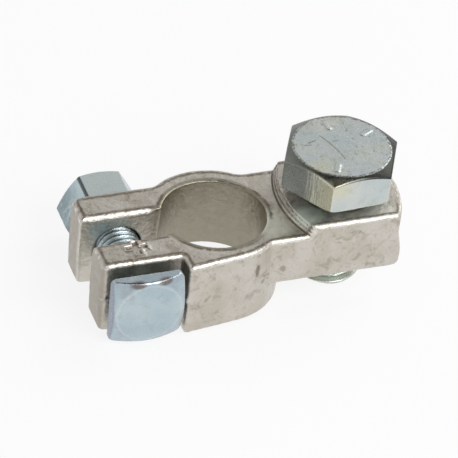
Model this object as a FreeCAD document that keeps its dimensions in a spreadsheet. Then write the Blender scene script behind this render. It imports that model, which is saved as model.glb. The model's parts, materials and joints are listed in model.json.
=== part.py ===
import FreeCAD, Part
import math
import os
import Sketcher

# Battery terminal clamp: a split casting, its M8 square-head clamp bolt and nut, and an M12 cable bolt.
# Frame: the post bore's axis is Z, the casting's underside is z = 0, +X runs along the cable arm,
# -Y is the side of the square head. Lengths are in millimetres and angles in degrees.

SIZES = {
    # Casting, seen from above; bore_radius is at the top face
    "bore_radius": 9.35,
    "ring_wall": 3.05,
    "clamp_bolt_web": 2.58,
    "ear_margin": 7.45,
    "slot_width": 7.15,
    "ear_thickness": 6.325,
    "shoulder_proud": 1.25,
    "shoulder_gap": 0.75,
    "arm_inset": 2.2,
    "arm_margin": 11.66,
    "arm_end_radius": 26.6,
    "pad_lap": 0.2,
    "pad_arc_radius": 21.0,
    # Casting, heights and edges
    "body_height": 14.8,
    "parting_height": 7.4,
    "arm_drop": 2.45,
    "pad_rise": 1.9,
    "terrace_tread": 0.3,
    "arm_draft": 2.5,
    "corner_radius": 1.3,
    "blend_radius": 1.6,
    "ear_heel_radius": 4.5,
    "arm_toe_land": 0.2,
    "shoulder_corner_radius": 0.9,
    "recess_corner_radius": 0.5,
    "top_edge_radius": 0.7,
    "bottom_edge_radius": 0.8,
    # Post bore: how far along the axis the diameter grows by one
    "bore_taper": 9.0,
    "bore_chamfer": 0.4,
    # Clamp bolt and nut; the tip stands proud of the nut by clamp_bolt_proud once the head is seated
    "clamp_bolt_height": 7.3,
    "clamp_thread": 8.0,
    "clamp_hole_play": 0.27,
    "clamp_bolt_proud": 2.7,
    "clamp_bolt_slack": 2.2,
    "square_across": 13.0,
    "square_thickness": 2.8,
    "square_crown_radius": 6.3,
    "square_corner_radius": 1.2,
    "clamp_tip_chamfer": 0.75,
    "nut_across": 13.0,
    "nut_thickness": 7.5,
    "nut_crown_radius": 6.2,
    # Cable bolt
    "cable_bolt_gap": 10.44,
    "cable_thread": 12.0,
    "cable_bolt_length": 20.0,
    "cable_across": 19.0,
    "cable_head_height": 7.5,
    "cable_crown_radius": 8.9,
    "cable_head_turn": 3.0,
    "cable_tip_chamfer": 0.95,
    "washer_face_radius": 8.6,
    "washer_face_height": 0.6,
    "cable_bolt_slack": 1.9,
    # Shared by both bolts
    "thread_play": 0.05,
    "chamfer_angle": 30.0,
}

# Steps down the pad's left boundary
TERRACES = 3
# Radius of the ring
RING = "($bore_radius + $ring_wall)"
# Distances from the bore's axis to the axes of the clamp bolt and the cable bolt
CLAMP_BOLT = "($bore_radius + $clamp_bolt_web + $clamp_hole_play + $clamp_thread / 2)"
CABLE_BOLT = f"({RING} + $cable_bolt_gap)"
# Half the width across both ears
EARS_HALF = "($slot_width / 2 + $ear_thickness)"
# Length of the clamp bolt under its head
CLAMP_LENGTH = f"(2 * {EARS_HALF} + $nut_thickness + $clamp_bolt_proud)"
# How far the ears, the shoulder, the pad and the arm reach from the bore's axis
EAR_REACH = f"({CLAMP_BOLT} + $ear_margin)"
SHOULDER_REACH = f"({RING} + $shoulder_proud)"
PAD_REACH = f"({RING} - $pad_lap)"
ARM_REACH = f"({CABLE_BOLT} + $arm_margin)"
# Height of the arm's underside, and the radius of its lower outer edge
UNDERSIDE = "($parting_height - $arm_drop)"
TOE_RADIUS = "($arm_drop - $arm_toe_land)"
# Half the arm's width at the parting plane
ARM_HALF = f"({RING} - $arm_inset)"
# X of the recess's side wall, which the square head bears on when it turns
WALL = f"($square_across / 2 + $shoulder_gap - {CLAMP_BOLT})"
# X of the corners where the arm's sides meet its bowed end, at the parting plane
ARM_CORNER = f"({ARM_REACH} - $arm_end_radius + sqrt($arm_end_radius ^ 2 - {ARM_HALF} ^ 2))"
# Tolerance for finding an edge by its place
NEAR = 0.02
# How far cutting outlines run past the faces that they cut
SPARE = 1


def make_sheet(doc):
    """Put the driving sizes into a spreadsheet, one alias each."""
    sheet = doc.addObject("Spreadsheet::Sheet", "Sizes")
    for row, (name, value) in enumerate(SIZES.items(), start=1):
        sheet.set(f"A{row}", name)
        sheet.set(f"B{row}", str(value))
        sheet.setAlias(f"B{row}", name)
    doc.recompute()


def sized(text):
    """Turn $name into a reference to that cell of the sheet."""
    return text.replace("$", "Sizes.")


def value_of(owner, text):
    """Evaluate a sized expression as a plain number."""
    result = owner.evalExpression(sized(text))
    return float(getattr(result, "Value", result))


def make_body(doc, label, rotation=None, place=None):
    """Start a body; place gives sized expressions for its origin."""
    body = doc.addObject("PartDesign::Body", label)
    body.Label = label
    if rotation is not None:
        body.Placement = FreeCAD.Placement(FreeCAD.Vector(), rotation)
    for axis, text in (place or {}).items():
        body.setExpression(f"Placement.Base.{axis}", sized(text))
    return body


def make_sketch(body, name, role="XY_Plane", height="0"):
    """Attach a sketch to one of the body's own origin planes, raised by height."""
    sketch = body.newObject("Sketcher::SketchObject", name)
    plane = next(item for item in body.Origin.OriginFeatures if item.Role == role)
    sketch.AttachmentSupport = (plane, "")
    sketch.MapMode = "FlatFace"
    sketch.setExpression("AttachmentOffset.Base.z", sized(height))
    return sketch


def drive(sketch, constraint, text):
    """Add a dimension and tie it to a sized expression."""
    index = sketch.addConstraint(constraint)
    sketch.setExpression(f"Constraints[{index}]", sized(text))


def draw_outline(sketch, corners, bends=None):
    """Draw a closed outline through corners given as pairs of sized expressions.

    bends maps the number of a side to (radius, centre x, centre y), which makes that side
    an arc that runs anticlockwise.
    """
    bends = bends or {}
    points = [FreeCAD.Vector(value_of(sketch, x), value_of(sketch, y), 0) for x, y in corners]
    total = len(points)
    for side, start in enumerate(points):
        end = points[(side + 1) % total]
        if side in bends:
            radius, centre_x, centre_y = (value_of(sketch, text) for text in bends[side])
            centre = FreeCAD.Vector(centre_x, centre_y, 0)
            circle = Part.Circle(centre, FreeCAD.Vector(0, 0, 1), radius)
            angles = [math.atan2(p.y - centre.y, p.x - centre.x) for p in (start, end)]
            sketch.addGeometry(Part.ArcOfCircle(circle, *angles), False)
        else:
            sketch.addGeometry(Part.LineSegment(start, end), False)
    for side in range(total):
        following = (side + 1) % total
        sketch.addConstraint(Sketcher.Constraint("Coincident", side, 2, following, 1))
    for side, (x, y) in enumerate(corners):
        start = points[side]
        drive(sketch, Sketcher.Constraint("DistanceX", -1, 1, side, 1, start.x), x)
        drive(sketch, Sketcher.Constraint("DistanceY", -1, 1, side, 1, start.y), y)
    for side, (radius, _, _) in bends.items():
        drive(sketch, Sketcher.Constraint("Radius", side, value_of(sketch, radius)), radius)


def draw_circle(sketch, radius, centre=("0", "0")):
    """Draw one circle from sized expressions."""
    middle = FreeCAD.Vector(*(value_of(sketch, text) for text in centre), 0)
    size = value_of(sketch, radius)
    sketch.addGeometry(Part.Circle(middle, FreeCAD.Vector(0, 0, 1), size), False)
    drive(sketch, Sketcher.Constraint("Radius", 0, size), radius)
    drive(sketch, Sketcher.Constraint("DistanceX", -1, 1, 0, 3, middle.x), centre[0])
    drive(sketch, Sketcher.Constraint("DistanceY", -1, 1, 0, 3, middle.y), centre[1])


def extrude(body, kind, name, sketch, length, reverse=False, taper=None):
    """Pad or pocket a sketch, and check that it changed the solid."""
    before = body.Shape.Volume if body.Shape.Solids else 0.0
    feature = body.newObject(f"PartDesign::{kind}", name)
    feature.Profile = sketch
    feature.setExpression("Length", sized(length))
    feature.Reversed = reverse
    if taper is not None:
        feature.setExpression("TaperAngle", sized(taper))
    body.Document.recompute()
    expect_change(body, name, before, grows=kind == "Pad")


def turn_away(body, name, sketch):
    """Cut a sketch's revolution round the body's Z axis."""
    before = body.Shape.Volume
    feature = body.newObject("PartDesign::Groove", name)
    feature.Profile = sketch
    axis = next(item for item in body.Origin.OriginFeatures if item.Role == "Z_Axis")
    feature.ReferenceAxis = (axis, [""])
    feature.Angle = 360.0
    body.Document.recompute()
    expect_change(body, name, before, grows=False)


def expect_change(body, name, before, grows):
    """Stop if a feature left the volume as it was or moved it the wrong way."""
    change = body.Shape.Volume - before
    if (change <= 0) if grows else (change >= 0):
        raise RuntimeError(f"{name} changed the volume of {body.Label} by {change:.4f}")


def dress(body, kind, name, chosen, size):
    """Fillet or chamfer the edges of the tip that the test chooses."""
    base = body.Tip
    edges = [f"Edge{n}" for n, edge in enumerate(base.Shape.Edges, start=1) if chosen(edge)]
    if not edges:
        raise RuntimeError(f"{name} found no edge on {body.Label}")
    feature = body.newObject(f"PartDesign::{kind}", name)
    feature.Base = (base, edges)
    feature.setExpression("Radius" if kind == "Fillet" else "Size", sized(size))
    body.Document.recompute()


def is_upright(edge):
    """Say whether an edge runs close to vertical."""
    if len(edge.Vertexes) != 2:
        return False
    first, last = (vertex.Point for vertex in edge.Vertexes)
    run = last - first
    return abs(run.z) > 0.95 * run.Length


def lies_at(edge, z):
    """Say whether a whole edge lies in the plane at height z."""
    box = edge.BoundBox
    return abs(box.ZMin - z) < NEAR and abs(box.ZMax - z) < NEAR


def shoulder_corners():
    """Corners of the wedge between the square head's recess and the ring's front.

    Its front runs straight from the recess until it touches the ring.
    """
    distance = f"sqrt({WALL} ^ 2 + {SHOULDER_REACH} ^ 2)"
    angle = f"(atan2(-{SHOULDER_REACH}; {WALL}) + acos({RING} / {distance}))"
    touch = (f"{RING} * cos({angle})", f"{RING} * sin({angle})")
    return [("0", "0"), (WALL, "0"), (WALL, f"-{SHOULDER_REACH}"), touch]


def arm_corners():
    """Corners of the arm at the parting plane, from the bore axis to its bowed end."""
    return [("0", f"-{ARM_HALF}"), (ARM_CORNER, f"-{ARM_HALF}"), (ARM_CORNER, ARM_HALF), ("0", ARM_HALF)]


def cut_terrace(body, number):
    """Step the pad's left boundary down towards the ring along a wide arc."""
    spread = f"({ARM_HALF} + {SPARE})"
    middle = f"({PAD_REACH} + $pad_arc_radius + {TERRACES - 1 - number} * $terrace_tread)"
    start = f"{middle} - sqrt($pad_arc_radius ^ 2 - {spread} ^ 2)"
    sketch = make_sketch(body, f"terrace_{number}_outline", height="$body_height + $pad_rise")
    back = f"-{SPARE}"
    corners = [(start, spread), (start, f"-{spread}"), (back, f"-{spread}"), (back, spread)]
    draw_outline(sketch, corners, {0: ("$pad_arc_radius", middle, "0")})
    depth = f"$pad_rise * {number + 1} / {TERRACES}"
    extrude(body, "Pocket", f"terrace_{number}", sketch, depth)


def add_ring(body):
    """Pad the ring's disc; its front and back are plain cylinders."""
    sketch = make_sketch(body, "ring_outline")
    draw_circle(sketch, RING)
    extrude(body, "Pad", "ring", sketch, "$body_height")


def add_arm(body):
    """Pad the arm up and down from the parting plane, then cut it back to its raised pad."""
    bow = {1: ("$arm_end_radius", f"{ARM_REACH} - $arm_end_radius", "0")}
    draft = "-$arm_draft * 1 deg"
    upper = make_sketch(body, "arm_upper_outline", height="$parting_height")
    draw_outline(upper, arm_corners(), bow)
    rise = "$body_height + $pad_rise - $parting_height"
    extrude(body, "Pad", "arm_upper", upper, rise, taper=draft)
    lower = make_sketch(body, "arm_lower_outline", height="$parting_height")
    draw_outline(lower, arm_corners(), bow)
    extrude(body, "Pad", "arm_lower", lower, "$arm_drop", reverse=True)

    bolt_x = value_of(body, CABLE_BOLT)
    underside = value_of(body, UNDERSIDE)

    def at_toe(edge):
        return lies_at(edge, underside) and edge.BoundBox.XMin > bolt_x

    dress(body, "Fillet", "arm_toe", at_toe, TOE_RADIUS)
    for number in range(TERRACES):
        cut_terrace(body, number)


def add_ears(body):
    """Pad the two ears as one block, and the shoulder that keeps the square head from turning."""
    ears = make_sketch(body, "ears_outline")
    end = f"-{EAR_REACH}"
    corners = [(end, f"-{EARS_HALF}"), ("0", f"-{EARS_HALF}"), ("0", EARS_HALF), (end, EARS_HALF)]
    draw_outline(ears, corners)
    extrude(body, "Pad", "ears", ears, "$body_height")

    shoulder = make_sketch(body, "shoulder_outline")
    draw_outline(shoulder, shoulder_corners())
    extrude(body, "Pad", "shoulder", shoulder, "$body_height")


def round_uprights(body, sheet):
    """Round the ends' upright corners and blend the ears and the arm into the ring."""
    wall = value_of(body, WALL)
    arm_corner = value_of(body, ARM_CORNER)
    arm_half = value_of(body, ARM_HALF)
    ear_end = -value_of(body, EAR_REACH)
    ears_half = value_of(body, EARS_HALF)
    ring = value_of(body, RING)
    shoulder_front = -value_of(body, SHOULDER_REACH)
    lean = (sheet.body_height + sheet.pad_rise) * math.tan(math.radians(sheet.arm_draft))

    def at_ends(edge):
        x = edge.CenterOfMass.x
        return is_upright(edge) and (abs(x - ear_end) < NEAR or x > arm_corner - lean)

    def in_blends(edge):
        x, y = edge.CenterOfMass.x, edge.CenterOfMass.y
        if not is_upright(edge) or abs(math.hypot(x, y) - ring) > lean:
            return False
        at_arm = x > 0 and arm_half - lean < abs(y) < arm_half + NEAR
        return at_arm or x < 0 < y

    def at_wall(edge):
        return is_upright(edge) and abs(edge.CenterOfMass.x - wall) < NEAR

    def at_shoulder(edge):
        return at_wall(edge) and abs(edge.CenterOfMass.y - shoulder_front) < NEAR

    def in_recess(edge):
        return at_wall(edge) and abs(edge.CenterOfMass.y + ears_half) < NEAR

    dress(body, "Fillet", "end_corners", at_ends, "$corner_radius")
    dress(body, "Fillet", "ring_blends", in_blends, "$blend_radius")
    dress(body, "Fillet", "shoulder_corner", at_shoulder, "$shoulder_corner_radius")
    dress(body, "Fillet", "recess_corner", in_recess, "$recess_corner_radius")


def round_rims(body, sheet):
    """Round the outer edges of the top faces and of the undersides."""
    def on_top(edge):
        across_arm = edge.CenterOfMass.x > 0 and abs(edge.CenterOfMass.y) < NEAR
        return lies_at(edge, sheet.body_height) and not across_arm

    def underneath(edge):
        return lies_at(edge, 0)

    dress(body, "Fillet", "top_rim", on_top, "$top_edge_radius")
    dress(body, "Fillet", "bottom_rim", underneath, "$bottom_edge_radius")


def cut_heels(body):
    """Round the lower outer edge of both ears with one wide cylinder."""
    sketch = make_sketch(body, "heel_outline", "XZ_Plane", f"{EARS_HALF} + {SPARE}")
    end, radius = f"-{EAR_REACH}", "$ear_heel_radius"
    middle = f"({end} + {radius})"
    corners = [
        (end, radius),
        (middle, "0"),
        (middle, f"-{SPARE}"),
        (f"{end} - {SPARE}", f"-{SPARE}"),
        (f"{end} - {SPARE}", radius),
    ]
    draw_outline(sketch, corners, {0: (radius, middle, radius)})
    extrude(body, "Pocket", "heels", sketch, f"2 * ({EARS_HALF} + {SPARE})")


def cut_bore(body):
    """Turn the tapered bore that wedges on a battery post, wider at the bottom."""
    sketch = make_sketch(body, "bore_profile", "XZ_Plane")
    top = "$body_height"
    corners = [
        ("0", f"-{SPARE}"),
        (f"$bore_radius + ({top} + {SPARE}) / (2 * $bore_taper)", f"-{SPARE}"),
        ("$bore_radius + $bore_chamfer / (2 * $bore_taper)", f"{top} - $bore_chamfer"),
        (f"$bore_radius + $bore_chamfer + {SPARE}", f"{top} + {SPARE}"),
        ("0", f"{top} + {SPARE}"),
    ]
    draw_outline(sketch, corners)
    turn_away(body, "post_bore", sketch)


def cut_openings(body):
    """Cut the slot between the ears, the clamp bolt's hole and the tapped hole of the arm."""
    slot = make_sketch(body, "slot_outline", height=f"$body_height + {SPARE}")
    half = "$slot_width / 2"
    far = f"-({EAR_REACH} + {SPARE})"
    draw_outline(slot, [(far, f"-{half}"), ("0", f"-{half}"), ("0", half), (far, half)])
    extrude(body, "Pocket", "slot", slot, f"$body_height + 2 * {SPARE}")
    hole = make_sketch(body, "clamp_hole_outline", "XZ_Plane", f"{EARS_HALF} + {SPARE}")
    centre = (f"-{CLAMP_BOLT}", "$clamp_bolt_height")
    draw_circle(hole, "$clamp_thread / 2 + $clamp_hole_play", centre)
    extrude(body, "Pocket", "clamp_hole", hole, f"2 * ({EARS_HALF} + {SPARE})")
    tapped = make_sketch(body, "cable_hole_outline", height=f"$body_height + $pad_rise + {SPARE}")
    draw_circle(tapped, "$cable_thread / 2 + $thread_play", (CABLE_BOLT, "0"))
    depth = f"$body_height + $pad_rise - {UNDERSIDE} + 2 * {SPARE}"
    extrude(body, "Pocket", "cable_hole", tapped, depth)


def add_crown(body, name, crown, corner, height, underside=False):
    """Turn the cone that takes the corners off a head or nut, leaving a round flat of radius crown."""
    sketch = make_sketch(body, f"{name}_profile", "XZ_Plane")
    outer = f"({corner} + {SPARE})"
    drop = f"({outer} - {crown}) * tan($chamfer_angle * 1 deg)"
    if underside:
        corners = [(crown, "0"), (outer, "0"), (outer, drop)]
    else:
        corners = [(crown, height), (outer, f"{height} - {drop}"), (outer, height)]
    draw_outline(sketch, corners)
    turn_away(body, name, sketch)


def hexagon(across, turn="0"):
    """Corners of a hexagon with a given width across flats, the first at an angle from X."""
    corners = []
    for number in range(6):
        angle = f"({60 * number} + {turn}) * 1 deg"
        corners.append(
            (f"{across} / sqrt(3) * cos({angle})", f"{across} / sqrt(3) * sin({angle})")
        )
    return corners


def add_shank(body, thread, length, tip_chamfer):
    """Pad a bolt's shank down from its head and chamfer its end."""
    sketch = make_sketch(body, "shank_outline")
    draw_circle(sketch, f"{thread} / 2")
    extrude(body, "Pad", "shank", sketch, length, reverse=True)
    end = -value_of(body, length)
    dress(body, "Chamfer", "tip", lambda edge: lies_at(edge, end), tip_chamfer)


def make_casting(doc, sheet):
    """Model the split casting."""
    body = make_body(doc, "clamp_body")
    add_ring(body)
    add_ears(body)
    add_arm(body)
    round_uprights(body, sheet)
    round_rims(body, sheet)
    cut_heels(body)
    cut_bore(body)
    cut_openings(body)
    return body


def make_clamp_bolt(doc):
    """Model the square-head bolt, standing off the front ear by its slack.

    Its local Z points out of the ear, and z = 0 is the head's bearing face.
    """
    rotation = FreeCAD.Rotation(FreeCAD.Vector(1, 0, 0), 90)
    place = {"x": f"-{CLAMP_BOLT}", "y": f"-({EARS_HALF} + $clamp_bolt_slack)", "z": "$clamp_bolt_height"}
    body = make_body(doc, "clamp_bolt", rotation, place)
    sketch = make_sketch(body, "head_outline")
    half = "$square_across / 2"
    corners = [(f"-{half}", f"-{half}"), (half, f"-{half}"), (half, half), (f"-{half}", half)]
    draw_outline(sketch, corners)
    extrude(body, "Pad", "head", sketch, "$square_thickness")
    dress(body, "Fillet", "head_corners", is_upright, "$square_corner_radius")
    corner = "$square_across / sqrt(2)"
    add_crown(body, "crown", "$square_crown_radius", corner, "$square_thickness")
    add_shank(body, "$clamp_thread", CLAMP_LENGTH, "$clamp_tip_chamfer")
    return body


def make_clamp_nut(doc):
    """Model the hexagon nut; its local Z points out of the rear ear, and z = 0 is its seat."""
    rotation = FreeCAD.Rotation(FreeCAD.Vector(1, 0, 0), -90)
    place = {"x": f"-{CLAMP_BOLT}", "y": EARS_HALF, "z": "$clamp_bolt_height"}
    body = make_body(doc, "clamp_nut", rotation, place)
    sketch = make_sketch(body, "nut_outline")
    draw_outline(sketch, hexagon("$nut_across"))
    extrude(body, "Pad", "nut", sketch, "$nut_thickness")
    crown = "$nut_crown_radius"
    corner = "$nut_across / sqrt(3)"
    add_crown(body, "outer_crown", crown, corner, "$nut_thickness")
    add_crown(body, "seat_crown", crown, corner, "$nut_thickness", underside=True)
    bore = make_sketch(body, "bore_outline", height="$nut_thickness")
    draw_circle(bore, "$clamp_thread / 2 + $thread_play")
    extrude(body, "Pocket", "bore", bore, "$nut_thickness")
    return body


def make_cable_bolt(doc):
    """Model the hexagon bolt of the cable lug; its local z = 0 is the head's bearing face."""
    place = {"x": CABLE_BOLT, "z": "$body_height + $pad_rise + $cable_bolt_slack"}
    body = make_body(doc, "cable_bolt", place=place)
    face = make_sketch(body, "washer_face_outline")
    draw_circle(face, "$washer_face_radius")
    extrude(body, "Pad", "washer_face", face, "$washer_face_height")
    head = make_sketch(body, "head_outline", height="$washer_face_height")
    draw_outline(head, hexagon("$cable_across", "$cable_head_turn"))
    extrude(body, "Pad", "head", head, "$cable_head_height - $washer_face_height")
    corner = "$cable_across / sqrt(3)"
    add_crown(body, "crown", "$cable_crown_radius", corner, "$cable_head_height")
    add_shank(body, "$cable_thread", "$cable_bolt_length", "$cable_tip_chamfer")
    return body


def check_document(doc):
    """Stop if any object of the document failed."""
    for item in doc.Objects:
        failed = {"Invalid", "Error"} & set(item.State)
        if failed:
            raise RuntimeError(f"{item.Name} is {', '.join(sorted(failed))}")


def main():
    doc = FreeCAD.newDocument("battery_terminal_clamp")
    make_sheet(doc)
    bodies = [
        make_casting(doc, doc.Sizes),
        make_clamp_bolt(doc),
        make_clamp_nut(doc),
        make_cable_bolt(doc),
    ]
    doc.recompute()
    check_document(doc)
    for body in bodies:
        shape = body.Shape
        if shape.isNull() or not shape.isValid() or len(shape.Solids) != 1:
            raise RuntimeError(f"{body.Label} is not one valid solid")
    os.makedirs("parts", exist_ok=True)
    for body in bodies:
        body.Shape.exportStep(f"parts/{body.Label}.step")
        print(f"{body.Label}: {body.Shape.Volume:.1f} mm3")


main()
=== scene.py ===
import json
import math

import bpy
import numpy as np
from mathutils import Matrix, Vector, noise

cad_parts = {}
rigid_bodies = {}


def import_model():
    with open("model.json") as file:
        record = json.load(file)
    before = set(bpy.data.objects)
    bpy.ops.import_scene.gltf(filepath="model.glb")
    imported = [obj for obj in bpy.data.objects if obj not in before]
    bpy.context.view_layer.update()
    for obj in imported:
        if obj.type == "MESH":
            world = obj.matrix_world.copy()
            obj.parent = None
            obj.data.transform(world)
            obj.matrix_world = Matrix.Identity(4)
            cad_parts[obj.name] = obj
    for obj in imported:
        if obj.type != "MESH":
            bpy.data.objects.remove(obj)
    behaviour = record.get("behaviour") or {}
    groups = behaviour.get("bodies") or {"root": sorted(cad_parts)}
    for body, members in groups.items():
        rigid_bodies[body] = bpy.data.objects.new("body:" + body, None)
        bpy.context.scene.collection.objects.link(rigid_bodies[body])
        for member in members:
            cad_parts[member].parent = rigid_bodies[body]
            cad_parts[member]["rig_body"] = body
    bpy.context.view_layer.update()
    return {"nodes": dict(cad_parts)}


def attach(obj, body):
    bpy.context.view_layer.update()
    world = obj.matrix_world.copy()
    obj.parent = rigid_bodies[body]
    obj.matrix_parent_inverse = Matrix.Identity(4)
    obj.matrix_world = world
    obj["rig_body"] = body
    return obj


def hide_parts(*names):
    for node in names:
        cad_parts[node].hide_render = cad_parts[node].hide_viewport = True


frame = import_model()

# The shapes are signed distances in millimetres: negative inside, positive outside.
MM = 0.001

# Casting, seen from above
RING_RADIUS = 12.40
REAR_BULGE = 0.3
EAR_REACH = 23.64
EARS_HALF = 9.85
SLOT_HALF = 3.575
CORNER_RADIUS = 1.3
RECESS_WALL_X = -8.95
TOUCH_ANGLE = math.radians(-82.69)
SHOULDER_CORNER = 0.9
ARM_HALF = 10.15
ARM_BOW_RADIUS = 21.0
ARM_REACH = 34.45
ARM_CORNER = 0.8
PAD_REACH = 12.2
PAD_ARC_RADIUS = 21.0
BORE_RADIUS = 9.35
# Height in which the bore's radius changes by 1 mm
BORE_TAPER = 18
CLAMP_X, CLAMP_Z = -16.2, 7.3
CABLE_X = 22.84
CLAMP_HOLE_RADIUS, CABLE_HOLE_RADIUS = 4.27, 6.08
# Casting, heights and edges
PARTING = 7.4
TOP = 14.8
PAD_TOP = 16.7
TERRACES = 3
TERRACE_TREAD = 0.3
ARM_UNDERSIDE = 4.95
ARM_TOE_RADIUS = 1.6
ARM_LOWER_RADIUS = 1.2
ARM_SIDE_DRAFT = 0.045
# Between these heights the arm's end steps back and gets rounder
END_STEP, END_STEP_SPAN = 0.42, (8.2, 11.4)
LOWER_BOW_RADIUS = 24.0
WALL_DRAFT = 0.010
HEEL_RADIUS = 0.9
RIM_RADIUS = 0.9
REAR_RIM_RADIUS = 0.25
SLOT_RIM_RADIUS = 1.4
END_RIM_RADIUS = 1.15
ARM_END_RIM_RADIUS = 0.345
BOTTOM_RADIUS = 0.2
END_BOTTOM_RADIUS = 0.9
EAR_END_DRAFT = 0.03
BORE_RIM_RADIUS = 0.22
# Where one size passes into another: along y to the rear, and along x to the arm's or the ears' end
REAR_BULGE_SPAN, REAR_RIM_SPAN = (3, 9), (5, 7)
ARM_TOE_SPAN, ARM_END_SPAN = (30, 34), (31.5, 33)
EAR_BOTTOM_SPAN, EAR_END_SPAN = (20.5, 22.8), (EAR_REACH - 2.2, EAR_REACH - 0.6)
# Fillets between the casting's parts, at the front and at the rear, and rounding of other edges
EAR_FILLETS, ARM_FILLETS = (0.45, 0.32), (0.22, 0.45)
TERRACE_EDGE, TERRACE_FILLET = 0.12, 0.06
BORE_EDGE, SLOT_EDGE = 0.3, 0.25
CLAMP_HOLE_EDGE, CABLE_HOLE_EDGE = 0.3, 0.4
# Flash on the parting line, with thicker nubs at corners
FLASH_RISE, FLASH_WIDTH = 0.06, 0.22
NUB_RISE, NUB_WIDTH = 0.45, 0.5
NUBS = ((-23.0, 3.6), (-23.0, -9.4), (-22.8, 10.3), (-8.9, -13.2))
# Plus-shaped recess on the front ear, with a soft raised border
CROSS_Y = -5.9
CROSS_REACH, CROSS_HALF = 1.9, 0.5
CROSS_DEPTH, CROSS_BORDER = 0.4, 0.16
# Waviness of the cast faces: height, fineness and share of the shift of each layer
WAVES = ((0.045, 0.22, 0), (0.022, 0.7, 1), (0.018, 1.9, -1))
WAVE_SHIFT = np.array((3.0, 9.0, 5.0))
WAVE_DROP = 0.025

# Threads: how far the flanks are cut off at crest and root, and the depth in pitches
FLANK_CUT, THREAD_DEPTH = 0.14, 0.61
# What brings the values of sloping faces near to distances, on the flanks and on the tip's chamfer
THREAD_SCALE, TIP_SCALE = 0.87, 0.7
# The chamfers on heads and nut
CROWN_SLOPE = math.radians(30)
# Clamp bolt; a thread is its radius, pitch, length and the radius of its tip
BOLT_STAND_OFF = 12.1
SQUARE_HALF, SQUARE_THICKNESS = 6.55, 2.8
SQUARE_CORNER, SQUARE_FLAT_RADIUS = 1.0, 5.95
SQUARE_FACE_Y = -BOLT_STAND_OFF - SQUARE_THICKNESS
CLAMP_THREAD = (4.0, 1.25, 30.0, 3.25)
# Nut
NUT_SEAT, NUT_THICKNESS, NUT_ACROSS = 9.9, 7.5, 13.0
NUT_FLAT_RADIUS, NUT_HOLE_RADIUS, NUT_SINK_RADIUS = 6.2, 4.05, 4.6
# Cable bolt
CABLE_SEAT = 18.6
CABLE_TIP_RADIUS, CABLE_LENGTH = 5.05, 20.0
CABLE_THREAD = (6.0, 1.75, CABLE_LENGTH, CABLE_TIP_RADIUS)
HEAD_ACROSS, HEAD_TURN = 19.0, math.radians(3)
HEAD_TOP, TICK_RISE = 7.5, 0.1
FLAT_HEIGHT = HEAD_TOP - TICK_RISE
FLAT_RADIUS, LOWER_FLAT_RADIUS = 8.9, 10.4
COLLAR_HEIGHT, COLLAR_RADIUS = 0.6, 8.6
HEAD_FACE_Z = CABLE_SEAT + FLAT_HEIGHT
TICK_TURNS = [math.radians(angle) for angle in (94, 27, 243)]
TICK_PLACE, TICK_REACH, TICK_HALF = 6.4, 1.3, 0.42

# Readings at the vertices: distance at which wear is felt, and its gain
WEAR_DISTANCE, WEAR_GAIN = 0.35, 5
# Colours of the casting
TIN_SHADE, TIN = (0.53, 0.49, 0.425), (0.61, 0.575, 0.52)
TIN_BLOTCH, TIN_BLOOM, TIN_SPECK = (0.34, 0.31, 0.25), (0.66, 0.62, 0.60), (0.25, 0.22, 0.17)
# The bore's wall and the lines on the pad's steps are painted shade.
BORE_SHADE, STAIN, STEP_SHADE = (0.315, 0.29, 0.22), (0.17, 0.14, 0.095), (0.17, 0.145, 0.12)
# The ears' end faces are darkened with painted shade.
EAR_END_SHADE = (0.35, 0.32, 0.27)
# Painted light and painted shade on the slot's rear wall, and a painted reflection of the bolt on it.
SLOT_PAINTED_LIGHT, SLOT_SHADE, SLOT_BOLT_REFLECTION = (0.78, 0.76, 0.68), (0.32, 0.28, 0.22), (0.66, 0.78, 0.80)
# Painted reflections on the pad and on the ring's top.
PAD_REFLECTION, PAD_PALE_REFLECTION, RING_REFLECTION = (0.84, 0.92, 0.82), (0.80, 0.79, 0.72), (0.90, 0.90, 0.78)
# Grime mixed with painted shade, and bright wear mixed with a painted highlight.
TIN_GRIME_AND_SHADE, TIN_WEAR_AND_HIGHLIGHT = (0.13, 0.105, 0.075), (0.93, 0.90, 0.85)
# Colours of the zinc: cool, warm and stained on each bolt, then what both share
CLAMP_ZINC = ((0.42, 0.52, 0.565), (0.50, 0.59, 0.62), (0.38, 0.43, 0.44))
CABLE_ZINC = ((0.52, 0.58, 0.59), (0.61, 0.635, 0.605), (0.46, 0.47, 0.38))
# Grime mixed with painted shade, then bright wear.
ZINC_GRIME_AND_SHADE, ZINC_SHINE = (0.09, 0.09, 0.08), (0.80, 0.82, 0.80)
# Colours on the square head and the nut
# The square head's left side colour is painted shade.
DISC_RIM, CORNER_VIOLET, SQUARE_SIDE_SHADE = (0.72, 0.78, 0.80), (0.40, 0.42, 0.50), (0.27, 0.29, 0.37)
# Dark painted reflections on the square head's face.
HEAD_REFLECTION = (0.13, 0.085, 0.075)
# Painted shade on the nut's left side and top corner, painted light on its top face.
NUT_SHADE, NUT_CREASE_SHADE, NUT_TOP_LIGHT = (0.20, 0.25, 0.26), (0.05, 0.055, 0.055), (0.64, 0.68, 0.65)
# Colours on the hexagon head, from its face to its tip
FACE_OLIVE, FACE_MARK, RIM_DOT = (0.47, 0.48, 0.35), (0.24, 0.24, 0.20), (0.09, 0.08, 0.06)
# The cone's colours round the hexagon head are a painted dark reflection.
CONE_REFLECTION_LEFT, CONE_REFLECTION_RIGHT, SCRATCH = (0.085, 0.085, 0.065), (0.03, 0.03, 0.025), (0.16, 0.15, 0.12)
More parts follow.
